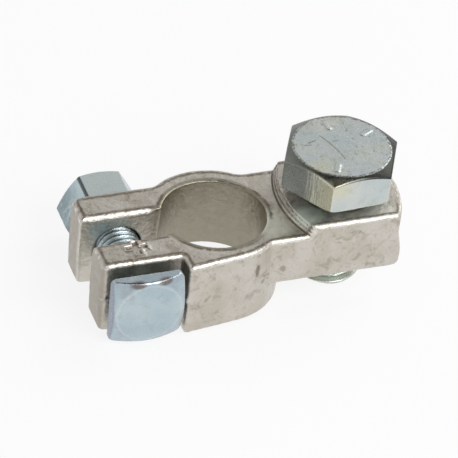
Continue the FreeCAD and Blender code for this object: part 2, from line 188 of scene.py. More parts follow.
# Painted shade, light and streaks of reflection on the hexagon head's left side.
SIDE_SHADE, SIDE_LIGHT = (0.23, 0.24, 0.215), (0.70, 0.69, 0.54)
STREAK_HIGHLIGHT, STREAK_DARK_REFLECTION = (0.95, 0.94, 0.84), (0.28, 0.29, 0.25)
PALE_YELLOW, TIP_GREEN = (0.66, 0.62, 0.42), (0.60, 0.64, 0.55)

# Stains on the casting: centre, scale of the distance along each axis, and strength
CASTING_STAINS = (
    ((4.6, -11.4, 10.2), (1.3, 1, 0.42), 0.8),
    ((6.1, -10.8, 7.0), (1.4, 1, 1.2), 0.5),
    ((9.9, -10.2, 8.6), (1.0, 1, 1.1), 0.5),
)
# Scratches on the hexagon head: centre and radius of an arc, middle of the line and its half length
SCRATCHES = (
    ((-0.18, -6.14), 22.47, (21.38, 0.19), 4.2),
    ((22.80, 51.25), 50.0, (16.95, 1.60), 1.0),
    ((3.25, 50.14), 50.0, (18.05, 2.38), 1.2),
    ((21.75, 51.78), 50.0, (22.30, 1.78), 0.9),
)
# Dark painted reflections on the square head's face and yellow spots on the hexagon head
HEAD_REFLECTION_SPOTS = ((-18.4, -14.4, 13.5), (-13.4, -14.4, 13.5))
YELLOW_SPOTS = ((19.0, -9.6, 24.0), (17.4, -4.8, 26.2))
# Scales that leave the distance from an axis
FROM_Y_AXIS, FROM_Z_AXIS = (1, 0, 1), (1, 1, 0)

# Stage and light: sizes and places here are in metres
FLOOR_SIZE, FLOOR_COLOR, FLOOR_GLOW = 8.0, (0.86, 0.86, 0.86), 0.85
WALL_LIGHT, CEILING_LIGHT = 0.72, 0.06
CEILING_EDGE = (0.74, 0.90)
LAMP_AIM = Vector((0.004, 0, 0.008))


def both(a, b, radius=0.0):
    """Intersection whose convex edge is rounded."""
    return np.minimum(-radius, np.maximum(a, b)) + np.hypot(
        np.maximum(radius + a, 0), np.maximum(radius + b, 0)
    )


def either(a, b, radius=0.0):
    """Union whose concave corner is filled with a fillet."""
    return -both(-a, -b, radius)


def ease(value, low, high):
    """0 below low and 1 above high, smooth between."""
    share = np.clip((value - low) / (high - low), 0, 1)
    return share * share * (3 - 2 * share)


def between(a, b, share):
    """a where the share is 0 and b where it is 1."""
    return a + (b - a) * share


def by_side(y, sizes):
    """The first size in front of the middle and the second behind it."""
    return np.where(y > 0, sizes[1], sizes[0])


def casting_plan(x, y):
    """Ring, ears and shoulder as seen from above."""
    ring = np.hypot(x, y) - RING_RADIUS - REAR_BULGE * ease(y, *REAR_BULGE_SPAN)
    ears = both(-EAR_REACH - x, np.abs(y) - EARS_HALF, CORNER_RADIUS)
    ears = np.maximum(ears, x)
    nx, ny = math.cos(TOUCH_ANGLE), math.sin(TOUCH_ANGLE)
    shoulder = both(nx * x + ny * y - RING_RADIUS, RECESS_WALL_X - x, SHOULDER_CORNER)
    shoulder = np.maximum(np.maximum(shoulder, nx * y - ny * x), y)
    return either(np.minimum(ring, shoulder), ears, by_side(y, EAR_FILLETS))


def flash(x, y, z):
    """How far the parting line stands proud."""
    rise = FLASH_RISE * np.exp(-(((z - PARTING) / FLASH_WIDTH) ** 2))
    for a, b in NUBS:
        away = (x - a) ** 2 + (y - b) ** 2
        rise = rise + NUB_RISE * np.exp(-(away + (z - PARTING) ** 2) / NUB_WIDTH ** 2)
    return rise


def casting_lid(x, y, z):
    """Top faces; the pad steps down towards the ring."""
    lid = z - TOP
    for step in range(TERRACES):
        centre = PAD_REACH + PAD_ARC_RADIUS + step * TERRACE_TREAD
        rise = TOP + (PAD_TOP - TOP) * (step + 1) / TERRACES
        terrace = both(np.hypot(x - centre, y) - PAD_ARC_RADIUS, z - rise, TERRACE_EDGE)
        lid = either(lid, terrace, TERRACE_FILLET)
    return lid


def casting_sides(x, y, z):
    """All the casting's faces but the top ones."""
    proud = flash(x, y, z)
    walls = casting_plan(x, y) + WALL_DRAFT * np.abs(z - PARTING) - proud
    heel = both(-EAR_REACH - x + EAR_END_DRAFT * np.abs(z - PARTING), -z, HEEL_RADIUS)
    walls = np.maximum(walls, heel)
    above = np.maximum(z - PARTING, 0)
    sides = np.abs(y) - ARM_HALF + ARM_SIDE_DRAFT * above
    upper = ease(z, *END_STEP_SPAN)
    radius = between(LOWER_BOW_RADIUS, ARM_BOW_RADIUS, upper)
    bow = np.hypot(x - ARM_REACH + radius, y) - radius + END_STEP * upper
    arm = np.maximum(both(sides, bow, ARM_CORNER), -x) - proud
    lower = between(ARM_LOWER_RADIUS, ARM_TOE_RADIUS, ease(x, *ARM_TOE_SPAN))
    arm = both(arm, ARM_UNDERSIDE - z, lower)
    solid = either(walls, arm, by_side(y, ARM_FILLETS))
    bottom = between(BOTTOM_RADIUS, END_BOTTOM_RADIUS, ease(-x, *EAR_BOTTOM_SPAN))
    solid = both(solid, -z, bottom)
    bore = np.hypot(x, y) - BORE_RADIUS - (TOP - z) / BORE_TAPER
    solid = both(solid, -bore, BORE_EDGE)
    slot = np.maximum(np.abs(y) - SLOT_HALF, x)
    solid = both(solid, -slot, SLOT_EDGE)
    solid = both(solid, CLAMP_HOLE_RADIUS - np.hypot(x - CLAMP_X, z - CLAMP_Z), CLAMP_HOLE_EDGE)
    return both(solid, CABLE_HOLE_RADIUS - np.hypot(x - CABLE_X, y), CABLE_HOLE_EDGE)


def rim_radius(x, y):
    """Rounding of the top edges, which differs from place to place."""
    outside = ease(np.hypot(x, y), BORE_RADIUS + 0.8, BORE_RADIUS + 2.2)
    outside = np.maximum(outside, ease(-x, 9.4, 10.4))
    by_slot = (1 - ease(np.abs(y - 4.6), 1.0, 1.7)) * ease(-x, 9.8, 11)
    rim = between(RIM_RADIUS, REAR_RIM_RADIUS, ease(y, *REAR_RIM_SPAN))
    rim = between(BORE_RIM_RADIUS, rim, outside)
    rim = between(rim, SLOT_RIM_RADIUS, by_slot)
    rim = between(rim, END_RIM_RADIUS, ease(-x, *EAR_END_SPAN))
    return between(rim, ARM_END_RIM_RADIUS, ease(x, *ARM_END_SPAN))


def cross_plan(x, y):
    """The plus-shaped recess as seen from above."""
    u, v = np.abs(x - CLAMP_X), np.abs(y - CROSS_Y)
    bar = np.maximum(u - CROSS_REACH, v - CROSS_HALF)
    post = np.maximum(v - CROSS_REACH, u - CROSS_HALF)
    return np.minimum(bar, post)


def casting_field(x, y, z):
    """The split casting without its surface unevenness."""
    solid = both(casting_sides(x, y, z), casting_lid(x, y, z), rim_radius(x, y))
    cross = cross_plan(x, y)
    border = 1 - ease(np.abs(cross - 0.25), 0, 0.4)
    solid = solid - CROSS_BORDER * border * (z > TOP - 1)
    return both(solid, -np.maximum(cross, TOP - CROSS_DEPTH - z), 0.1)


def thread(radial, along, angle, major, pitch):
    """An endless shank with a right-handed thread that has flat crests and roots."""
    phase = np.mod(along / pitch - angle / math.tau, 1.0)
    ramp = np.clip(np.abs(phase - 0.5) * 2 * (1 + 2 * FLANK_CUT) - FLANK_CUT, 0, 1)
    return (radial - major + THREAD_DEPTH * pitch * ramp) * THREAD_SCALE


def hexagon(u, v, across, turn=0.0):
    """A hexagon with a corner at an angle from the first axis."""
    radius = np.hypot(u, v)
    angle = np.mod(np.arctan2(v, u) - turn, math.pi / 3) - math.pi / 6
    return radius * np.cos(angle) - across / 2


def crown(radial, w, flat):
    """The cone that takes the corners off a head: it meets w = 0 at the radius flat."""
    return (radial - flat) * math.sin(CROWN_SLOPE) + w * math.cos(CROWN_SLOPE)


def shank(radial, along, angle, major, pitch, length, tip):
    """A threaded shank that runs from the head to along = -length, with a chamfered end."""
    body = thread(radial, along, angle, major, pitch)
    body = both(body, (radial - tip - (along + length)) * TIP_SCALE, 0.1)
    body = both(body, -length - along, 0.1)
    return np.maximum(body, along - 1)


def clamp_bolt_field(x, y, z):
    """Square-head bolt across the ears."""
    u, v, w = x - CLAMP_X, z - CLAMP_Z, -BOLT_STAND_OFF - y
    radial = np.hypot(u, v)
    head = both(np.abs(u) - SQUARE_HALF, np.abs(v) - SQUARE_HALF, SQUARE_CORNER)
    head = both(head, crown(radial, w - SQUARE_THICKNESS, SQUARE_FLAT_RADIUS), 0.2)
    head = both(head, w - SQUARE_THICKNESS, 0.25)
    head = both(head, -w, 0.2)
    return either(head, shank(radial, w, np.arctan2(v, -u), *CLAMP_THREAD), 0.15)


def clamp_nut_field(x, y, z):
    """Hexagon nut on the rear ear."""
    u, v, w = x - CLAMP_X, z - CLAMP_Z, y - NUT_SEAT
    radial = np.hypot(u, v)
    nut = both(hexagon(u, v, NUT_ACROSS), crown(radial, w - NUT_THICKNESS, NUT_FLAT_RADIUS), 0.15)
    nut = both(nut, crown(radial, -w, NUT_FLAT_RADIUS), 0.15)
    nut = both(nut, w - NUT_THICKNESS, 0.1)
    nut = both(nut, -w, 0.1)
    hole = np.minimum(radial - NUT_HOLE_RADIUS, crown(radial, NUT_THICKNESS - 0.2 - w, NUT_SINK_RADIUS))
    return both(nut, -hole, 0.1)


def cable_bolt_field(x, y, z):
    """Hexagon bolt of the cable lug, with three plain raised ticks on its head."""
    u, v, w = x - CABLE_X, y, z - CABLE_SEAT
    radial = np.hypot(u, v)
    hexagonal = hexagon(u, v, HEAD_ACROSS, HEAD_TURN)
    head = both(hexagonal, crown(radial, w - FLAT_HEIGHT, FLAT_RADIUS), 0.2)
    head = both(head, crown(radial, COLLAR_HEIGHT - w, LOWER_FLAT_RADIUS), 0.2)
    head = both(head, w - FLAT_HEIGHT, 0.15)
    head = both(head, COLLAR_HEIGHT - w, 0.2)
    collar = both(both(radial - COLLAR_RADIUS, -w, 0.15), w - 1)
    head = either(head, collar, 0.1)
    for turn in TICK_TURNS:
        c, s = math.cos(turn), math.sin(turn)
        outward, across = c * u + s * v, c * v - s * u
        tick = both(np.abs(outward - TICK_PLACE) - TICK_REACH, np.abs(across) - TICK_HALF, 0.3)
        head = either(head, both(tick, np.abs(w - FLAT_HEIGHT) - TICK_RISE, 0.08), 0.1)
    return either(head, shank(radial, w, np.arctan2(v, u), *CABLE_THREAD), 0.2)


def net(field, low, high, cell):
    """Surface net: one vertex in each cell that the surface crosses, one quad for each crossed edge."""
    axes = [np.arange(a, b + cell, cell) for a, b in zip(low, high)]
    grid = np.meshgrid(*axes, indexing="ij", sparse=True)
    value = np.broadcast_to(field(*grid), [len(a) for a in axes])
    inside = value < 0
    cells, points, flips, counts = [], [], [], []
    for axis in range(3):
        near = tuple(slice(None, -1) if k == axis else slice(None) for k in range(3))
        far = tuple(slice(1, None) if k == axis else slice(None) for k in range(3))
        crossed = inside[near] != inside[far]
        index = np.argwhere(crossed)
        start, end = value[near][crossed], value[far][crossed]
        point = index.astype(float)
        point[:, axis] += start / (start - end)
        second, third = (axis + 1) % 3, (axis + 2) % 3
        for back in ((0, 0), (1, 0), (1, 1), (0, 1)):
            cell_index = index.copy()
            cell_index[:, second] -= back[0]
            cell_index[:, third] -= back[1]
            cells.append(np.ravel_multi_index(cell_index.T, value.shape))
            points.append(point)
        flips.append(~inside[near][crossed])
        counts.append(len(index))
    _, inverse = np.unique(np.concatenate(cells), return_inverse=True)
    points = np.concatenate(points)
    share = np.bincount(inverse)
    vertices = np.stack([np.bincount(inverse, weights=points[:, k]) / share for k in range(3)], 1)
    quads, start = [], 0
    for count, flip in zip(counts, flips):
        quad = inverse[start:start + 4 * count].reshape(4, count).T.copy()
        quad[flip] = quad[flip][:, ::-1]
        quads.append(quad)
        start += 4 * count
    return vertices * cell + np.array(low), np.concatenate(quads)


def around(field, points, step):
    """Field values at a step before and after each point along each axis."""
    rows = []
    for axis in range(3):
        for sign in (-1, 1):
            moved = points.copy()
            moved[:, axis] += sign * step
            rows.append(field(*moved.T))
    return np.array(rows)


def settle(field, points, cell):
    """Move the vertices onto the surface and give their normals."""
    step, least_slope, most_push = 0.02, 0.2, 0.4 * cell
    for _ in range(3):
        rows = around(field, points, step)
        slope = (rows[1::2] - rows[0::2]).T / (2 * step)
        length = np.maximum(np.linalg.norm(slope, axis=1), least_slope)
        push = np.clip(field(*points.T) / length, -most_push, most_push)
        points = points - (push / length)[:, None] * slope
    return points, slope / length[:, None]


def make_piece(name, field, box, cell, node, material, neighbours, extra=None):
    """Mesh a field in the place of a CAD node, with what its material reads at each vertex.

    wear says how convex the surface is, and gap how far its neighbours are, in millimetres.
    """
    points, quads = net(field, *box, cell)
    points, normals = settle(field, points, cell)
    readings = {
        "wear": np.clip(around(field, points, WEAR_DISTANCE).mean(0) / WEAR_DISTANCE * WEAR_GAIN, -1, 1),
        "gap": np.clip(np.min([other(*points.T) for other in neighbours], axis=0), 0, 9),
    }
    if extra is not None:
        rise, more = extra(points)
        readings.update(more)
        points = points + normals * rise[:, None]
    mesh = bpy.data.meshes.new(name)
    mesh.from_pydata((points * MM).tolist(), [], quads.tolist())
    for label, data in readings.items():
        attribute = mesh.attributes.new(label, "FLOAT", "POINT")
        attribute.data.foreach_set("value", data.astype(np.float32))
    mesh.shade_smooth()
    mesh.materials.append(material)
    piece = bpy.data.objects.new(name, mesh)
    bpy.context.scene.collection.objects.link(piece)
    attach(piece, frame["nodes"][node]["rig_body"])
    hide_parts(node)
    print(name, len(quads) * 2, "triangles")


def casting_surface(points):
    """Waviness of the cast faces, and the readings that only the casting has.

    rim runs across the top edges, below zero on the top faces and above zero on the sides; stair
    runs up the pad's steps; bored is 1 on the bore's wall, which has hardly any waviness.
    """
    x, y, z = points.T
    bored = 1 - ease(np.abs(np.hypot(x, y) - BORE_RADIUS - 0.4), 0.45, 0.65)
    wave = np.full(len(points), -WAVE_DROP)
    for height, fineness, shift in WAVES:
        wave += height * np.array([noise.noise(place) for place in points * fineness + shift * WAVE_SHIFT])
    stair = z - TOP + PAD_ARC_RADIUS - np.hypot(x - PAD_REACH - PAD_ARC_RADIUS, y)
    readings = {
        "rim": np.clip(casting_sides(x, y, z) - casting_lid(x, y, z), -4, 4),
        "stair": np.clip(stair, -4, 9),
        "bored": bored,
    }
    return (1 - 0.9 * bored) * wave, readings


class Graph:
    """A node material in the making; positions in it are in millimetres.

    place is the position on the object, and color is what has been painted so far.
    """

    def __init__(self, name):
        self.material = bpy.data.materials.new(name)
        self.material.use_nodes = True
        self.tree = self.material.node_tree
        self.tree.nodes.clear()
        coordinates = self.add("TexCoord")
        self.place = self.scaled(coordinates.outputs["Object"], (1 / MM, 1 / MM, 1 / MM))
        self.color = None

    def add(self, kind, **settings):
        node = self.tree.nodes.new("ShaderNode" + kind)
        for key, value in settings.items():
            setattr(node, key, value)
        return node

    def feed(self, socket, value):
        """Link an output to a socket, or set the socket's own value."""
        if isinstance(value, bpy.types.NodeSocket):
            self.tree.links.new(value, socket)
        elif isinstance(value, tuple) and socket.type == "RGBA":
            socket.default_value = (*value, 1.0)
        else:
            socket.default_value = value

    def scaled(self, vector, scale, turn=(0, 0, 0), shift=(0, 0, 0)):
        node = self.add("Mapping")
        for key, value in (("Vector", vector), ("Scale", scale), ("Rotation", turn), ("Location", shift)):
            self.feed(node.inputs[key], value)
        return node.outputs["Vector"]

    def noise(self, scale, detail=3.0, roughness=0.55, vector=None, distortion=0.0):
        node = self.add("TexNoise")
        self.feed(node.inputs["Vector"], vector or self.place)
        for key, value in (
            ("Scale", scale), ("Detail", detail), ("Roughness", roughness), ("Distortion", distortion)
        ):
            self.feed(node.inputs[key], value)
        return node.outputs[0]

    def span(self, value, low, high, to_low=0.0, to_high=1.0):
        """A smooth passage from one value at low to another at high."""
        node = self.add("MapRange", interpolation_type="SMOOTHSTEP")
        for socket, item in zip(node.inputs, (value, low, high, to_low, to_high)):
            self.feed(socket, item)
        return node.outputs[0]

    def math(self, operation, a, b=0.0):
        node = self.add("Math", operation=operation)
        self.feed(node.inputs[0], a)
        self.feed(node.inputs[1], b)
        return node.outputs[0]

    def plus(self, a, b):
        return self.math("ADD", a, b)

    def minus(self, a, b):
        return self.math("SUBTRACT", a, b)

    def larger(self, a, b):
        return self.math("MAXIMUM", a, b)

    def inverse(self, share):
        return self.minus(1.0, share)

    def times(self, *factors):
        product = factors[0]
        for factor in factors[1:]:
            product = self.math("MULTIPLY", product, factor)
        return product

    def band(self, value, low, high, soft):
        """1 between low and high, with soft borders."""
        rising = self.span(value, low - soft, low + soft)
        return self.times(rising, self.span(value, high + soft, high - soft))

    def away(self, centre, scale=(1, 1, 1)):
        """Distance from a point, in millimetres times the scale."""
        shift = tuple(-c * s for c, s in zip(centre, scale))
        length = self.add("VectorMath", operation="LENGTH")
        self.feed(length.inputs[0], self.scaled(self.place, scale, shift=shift))
        return length.outputs["Value"]

    def spot(self, centre, scale, far, near, ragged=None):
        """1 nearer a point than near and 0 beyond far; ragged is added to the distance."""
        distance = self.away(centre, scale)
        if ragged is not None:
            distance = self.plus(distance, ragged)
        return self.span(distance, far, near)

    def mix(self, factor, a, b):
        """Colour a where the factor is 0 and b where it is 1."""
        node = self.add("Mix", data_type="RGBA")
        for socket, value in ((0, factor), (6, a), (7, b)):
            self.feed(node.inputs[socket], value)
        return node.outputs[2]

    def paint(self, color, *factors):
        """Lay a colour over what is there, by the product of the factors."""
        self.color = self.mix(self.times(*factors), self.color, color)

    def parts(self):
        """Position along each axis."""
        node = self.add("SeparateXYZ")
        self.feed(node.inputs[0], self.place)
        return list(node.outputs)

    def reading(self, name):
        """What make_piece stored at the vertices under a name."""
        return self.add("Attribute", attribute_name=name).outputs["Fac"]

    def bump(self, height, distance, before=None):
        node = self.add("Bump")
        self.feed(node.inputs["Height"], height)
        self.feed(node.inputs["Distance"], distance)
        if before is not None:
            self.feed(node.inputs["Normal"], before)
        return node.outputs["Normal"]

    def finish(self, shader):
        output = self.add("OutputMaterial")
        self.feed(output.inputs["Surface"], shader)
        return self.material

    def metal(self, roughness, normal):
        """Finish as bare metal in the painted colour."""
        shader = self.add("BsdfPrincipled")
        for key, value in (
            ("Base Color", self.color), ("Roughness", roughness), ("Normal", normal), ("Metallic", 1.0)
        ):
            self.feed(shader.inputs[key], value)
        return self.finish(shader.outputs[0])


def casting_stains_and_bore_shade(g, ragged, edge, bored):
    """Mottled plate with specks, painted shade on the bore's wall and a few single stains."""
    g.color = g.mix(g.span(g.noise(0.13, 4), 0.35, 0.68), TIN_SHADE, TIN)
    g.paint(TIN_BLOTCH, g.span(g.noise(0.42, 6, 0.68, distortion=1.0), 0.50, 0.68), 0.75)
    turned = g.scaled(g.place, (1, 1, 1), (1, 2, 3))
    g.paint(TIN_BLOOM, g.span(g.noise(0.4, 4, 0.6, vector=turned), 0.52, 0.68), 0.35)
    # Painted shade on the bore's wall
    g.paint(BORE_SHADE, bored, 0.9)
    speck = g.span(g.noise(2.6, 3, 0.6), 0.58, 0.72)
    g.paint(TIN_SPECK, speck, g.span(edge, 0.5, -0.5, 0.4, 0.8))
    for centre, scale, strength in CASTING_STAINS:
        g.paint(STAIN, g.spot(centre, scale, 1.5, 1.0, g.times(ragged, 1.2)), strength)


def casting_tints(g, ragged, edge):
    """Painted shade on the pad's steps and the ears' ends, painted light and shade on the slot's rear
    wall, and patches on the top faces.

    The patches and the blue spot on the slot's wall are painted reflections. The result is 1 where the
    patches are, and they are duller than the rest.
    """
    along, across, _ = g.parts()
    stair = g.reading("stair")
    on_top = g.span(edge, 0.1, -0.2)
    run = PAD_TOP - TOP + TERRACE_TREAD * (TERRACES - 1)
    steps = g.times(g.band(stair, -0.35, run + TERRACE_TREAD, 0.15), on_top)
    line = g.math("COSINE", g.times(stair, math.tau * TERRACES / run))
    # Painted shade: dark lines along the pad's steps
    g.paint(STEP_SHADE, steps, g.span(line, -0.3, 0.7), 0.75)
    # Painted shade on the ears' end faces
    g.paint(EAR_END_SHADE, g.span(along, -22.7, -23.2), 0.75)
    wall = g.times(g.band(across, 2.6, 4.4, 0.3), g.span(along, -8.0, -9.5), g.span(edge, 0.5, 1.5))
    # Painted light on the slot's rear wall, painted shade deeper in, and a painted reflection of the bolt
    g.paint(SLOT_PAINTED_LIGHT, wall, 0.4)
    g.paint(SLOT_SHADE, wall, g.span(along, -12.0, -9.5), 0.6)
    bolt_reflection = g.spot((-18.6, 3.6, 11.2), (1, 1, 1), 4.5, 2.0)
    g.paint(SLOT_BOLT_REFLECTION, wall, bolt_reflection, g.span(g.noise(0.35, 3), 0.4, 0.6), 0.8)
    # Painted reflections of the hexagon head on the pad, a paler one at its front, and one on the ring's
    # top
    uneven = g.times(ragged, 3.0)
    green_reflection = g.spot((15.4, -6.2, PAD_TOP), (1, 1, 2), 6.0, 3.0, uneven)
    pale = g.times(g.spot((24.5, -8.4, PAD_TOP), (0.35, 1, 2), 3.2, 1.6), on_top)
    ring = g.spot((9.3, -5.6, TOP), (1, 0.8, 2), 6.5, 3.0, uneven)
    g.paint(PAD_REFLECTION, green_reflection, 0.8)
    g.paint(PAD_PALE_REFLECTION, pale, 0.6)
    g.paint(RING_REFLECTION, ring, 0.8)
    return g.larger(g.larger(green_reflection, pale), ring)


def casting_edges(g, ragged, edge, bored):
    """Grime and painted shade in the hollows, beside the top edges and near the other pieces, and bright
    worn edges with a painted highlight along the top edges.
    """
    along, across, level = g.parts()
    wear, gap = g.reading("wear"), g.reading("gap")
    rim = g.plus(edge, g.times(g.minus(ragged, 0.5), 0.9))
    inner = g.span(along, 32.6, 31.6)
    by_bore = g.spot((0, 0, 0), FROM_Z_AXIS, 11.0, 10.4)
    faint = g.inverse(g.times(by_bore, g.span(g.noise(0.25, 3), 0.60, 0.45)))
    dark_line = g.times(g.band(rim, -1.05, -0.5, 0.3), inner, faint)
    grime_and_shade = g.larger(g.span(wear, -0.35, -0.85), dark_line)
    grime_and_shade = g.times(grime_and_shade, g.span(g.noise(0.9, 3), 0.22, 0.5))
    grime_and_shade = g.larger(grime_and_shade, g.span(gap, 1.0, 0.4))
    # Grime mixed with painted shade in the hollows, beside the top edges and near the other pieces
    g.paint(TIN_GRIME_AND_SHADE, grime_and_shade, 0.8)
    # The painted highlight bar on the rim is double and wider beside the slot
    by_slot = g.times(g.band(across, 3.0, 5.4, 0.3), g.span(along, -9.5, -10.5))
    divided = g.inverse(g.times(by_slot, g.band(rim, 0.35, 0.55, 0.12)))
    wide = g.times(by_slot, g.band(rim, 0.7, 1.5, 0.15))
    bar = g.larger(g.times(g.band(rim, -0.15, 0.85, 0.2), divided), wide)
    upright = g.times(by_bore, g.span(level, TOP - 0.4, TOP - 0.8))
    worn = g.times(g.span(wear, 0.3, 0.9), g.inverse(upright), 0.4)
    wear_and_highlight = g.larger(worn, g.times(bar, inner, 0.6))
    wear_and_highlight = g.times(wear_and_highlight, g.span(g.noise(0.9, 4, 0.7), 0.35, 0.6), g.inverse(bored))
    # Bright wear on convex edges mixed with a painted highlight along the top edges
    g.paint(TIN_WEAR_AND_HIGHLIGHT, wear_and_highlight, 0.9)
    return grime_and_shade, wear_and_highlight


def casting_material():
    """Satin tin plate over a rough casting: mottled, with painted shade, light and reflections in places,
    grimy and shaded beside its edges, and worn bright on them with a painted highlight.
    """
    g = Graph("tinned_casting")
    ragged = g.noise(1.1, 4, 0.7)
    edge, bored = g.reading("rim"), g.reading("bored")
    casting_stains_and_bore_shade(g, ragged, edge, bored)
    dull = casting_tints(g, ragged, edge)
    grime_and_shade, wear_and_highlight = casting_edges(g, ragged, edge, bored)
    rough = g.span(g.noise(0.8, 4), 0.3, 0.7, 0.30, 0.42)
    rough = g.minus(g.plus(rough, g.times(dull, 0.2)), g.times(wear_and_highlight, 0.08))
    rough = g.plus(rough, g.times(grime_and_shade, 0.2))
    normal = g.bump(g.noise(1.1, 4, 0.6), 0.00014)
    normal = g.bump(g.noise(5.5, 3, 0.6), 0.00003, before=normal)
    return g.metal(rough, normal)


def zinc_base(g, cool, warm, stained):
    """Zinc plate with cloudy stains, grime and painted shade in the hollows and near the casting, and
    bright edges.
    """
    wear, gap = g.reading("wear"), g.reading("gap")
    g.color = g.mix(g.span(g.noise(0.16, 4), 0.35, 0.66), cool, warm)
    g.paint(stained, g.span(g.noise(0.5, 5, 0.65, distortion=0.5), 0.50, 0.72), 0.55)
    grime_and_shade = g.larger(g.span(wear, -0.12, -0.7), g.times(g.span(gap, 1.6, 0.2), 0.5))
    # Grime mixed with painted shade in the hollows and near the casting
    g.paint(ZINC_GRIME_AND_SHADE, grime_and_shade, 0.8)
    g.paint(ZINC_SHINE, g.span(wear, 0.25, 0.8), g.span(g.noise(2.2, 3, 0.7), 0.45, 0.6), 0.5)


def zinc_finish(g):
    """Fine drawn lines and a soft gloss under the painted colour."""
    streak = g.noise(1.0, 2, 0.5, vector=g.scaled(g.place, (0.35, 9.0, 9.0), (0.4, 0.3, 0.9)))
    rough = g.span(g.noise(1.2, 4), 0.3, 0.7, 0.20, 0.30)
    rough = g.plus(rough, g.times(streak, 0.08))
    normal = g.bump(streak, 0.00002)
    normal = g.bump(g.noise(2.2, 3, 0.6), 0.00003, before=normal)
    return g.metal(rough, normal)


def zinc_material():
    """Bluish zinc of the clamp bolt and its nut; its dark spots are painted reflections, with painted
    shade on the square head's and the nut's left sides and painted light on the nut's top face.
    """
    g = Graph("zinc")
    zinc_base(g, *CLAMP_ZINC)
    along, across, level = g.parts()
    ragged = g.noise(0.7, 3, 0.6)
    radial = g.away((CLAMP_X, 0, CLAMP_Z), FROM_Y_AXIS)
    head = g.span(across, -BOLT_STAND_OFF + 0.1, -BOLT_STAND_OFF - 0.1)
    face = g.span(across, SQUARE_FACE_Y + 0.3, SQUARE_FACE_Y + 0.05)
    disc_rim = g.band(radial, SQUARE_FLAT_RADIUS - 0.25, SQUARE_FLAT_RADIUS + 0.1, 0.15)
    corners = g.span(radial, SQUARE_FLAT_RADIUS - 0.05, SQUARE_FLAT_RADIUS + 0.35)
    side = g.span(along, CLAMP_X - SQUARE_HALF + 0.45, CLAMP_X - SQUARE_HALF + 0.05)
    g.paint(DISC_RIM, head, face, disc_rim, 0.2)
    g.paint(CORNER_VIOLET, head, corners, g.span(ragged, 0.35, 0.6), 0.45)
    # Painted shade on the square head's left side
    g.paint(SQUARE_SIDE_SHADE, head, side, 0.8)
    # Dark painted reflections on the square head's face
    for centre in HEAD_REFLECTION_SPOTS:
        g.paint(HEAD_REFLECTION, g.spot(centre, (0.7, 1, 1.6), 1.3, 0.6), 0.75)
    nut = g.span(across, NUT_SEAT - 0.3, NUT_SEAT)
    nut_top = CLAMP_Z + NUT_ACROSS / 2
    left = g.span(along, CLAMP_X - 4.0, CLAMP_X - 6.6)
    crease_shade = g.spot((CLAMP_X - 3.9, 0, nut_top - 0.1), FROM_Y_AXIS, 0.55, 0.25)
    # Painted shade on the nut's left side and at its top corner, painted light on its top face
    g.paint(NUT_SHADE, nut, left, g.span(ragged, 0.30, 0.55), 0.75)
    g.paint(NUT_CREASE_SHADE, nut, crease_shade, 0.9)
    g.paint(NUT_TOP_LIGHT, nut, g.span(level, nut_top - 0.2, nut_top - 0.05), g.inverse(crease_shade), 0.6)
    return zinc_finish(g)


def hexagon_top(g, ragged):
    """Stains and scratches on the hexagon head's face, its dotted rim and a dark painted reflection on the
    cone round it.

    The result is the distance from the bolt's axis, made ragged.
    """
    along, _, level = g.parts()
    from_axis = g.away((CABLE_X, 0, 0), FROM_Z_AXIS)
    radial = g.plus(from_axis, g.times(ragged, 0.5))
    face = g.times(g.span(level, HEAD_FACE_Z - 0.2, HEAD_FACE_Z - 0.05), g.span(radial, 9.0, 8.6))
    g.paint(FACE_OLIVE, face, g.span(g.noise(0.45, 5, 0.7, distortion=0.8), 0.52, 0.66), 0.6)
    marks = g.noise(1.6, 3, 0.6, vector=g.scaled(g.place, (1.0, 0.5, 1.0), (0, 0, 0.5)))
    g.paint(FACE_MARK, face, g.span(marks, 0.60, 0.70), 0.6)
    rim = g.times(g.band(radial, 8.75, 9.1, 0.12), g.span(level, HEAD_FACE_Z - 0.5, HEAD_FACE_Z - 0.3))
    g.paint(RIM_DOT, rim, g.span(g.noise(1.5, 3, 0.7), 0.42, 0.58), 0.85)
    drop = g.times(g.minus(from_axis, FLAT_RADIUS), math.tan(CROWN_SLOPE))
    above_cone = g.minus(g.plus(level, drop), HEAD_FACE_Z)
    cone = g.times(g.span(radial, 9.0, 9.25), g.span(above_cone, -0.30, -0.12))
    # Dark painted reflection on the head's cone, darker towards the right
    cone_reflection = g.mix(g.span(along, 22, 25), CONE_REFLECTION_LEFT, CONE_REFLECTION_RIGHT)
    g.paint(cone_reflection, cone, g.span(along, 19, 25, 0.8, 0.97))
    near_face = g.span(level, HEAD_FACE_Z - 0.2, HEAD_FACE_Z - 0.1)
    for centre, radius, middle, reach in SCRATCHES:
        off_arc = g.math("ABSOLUTE", g.minus(g.away((*centre, 0), FROM_Z_AXIS), radius))
        part = g.spot((*middle, 0), FROM_Z_AXIS, reach, reach - 0.6)
        g.paint(SCRATCH, g.span(off_arc, 0.16, 0.05), part, near_face, 0.7)
    return radial


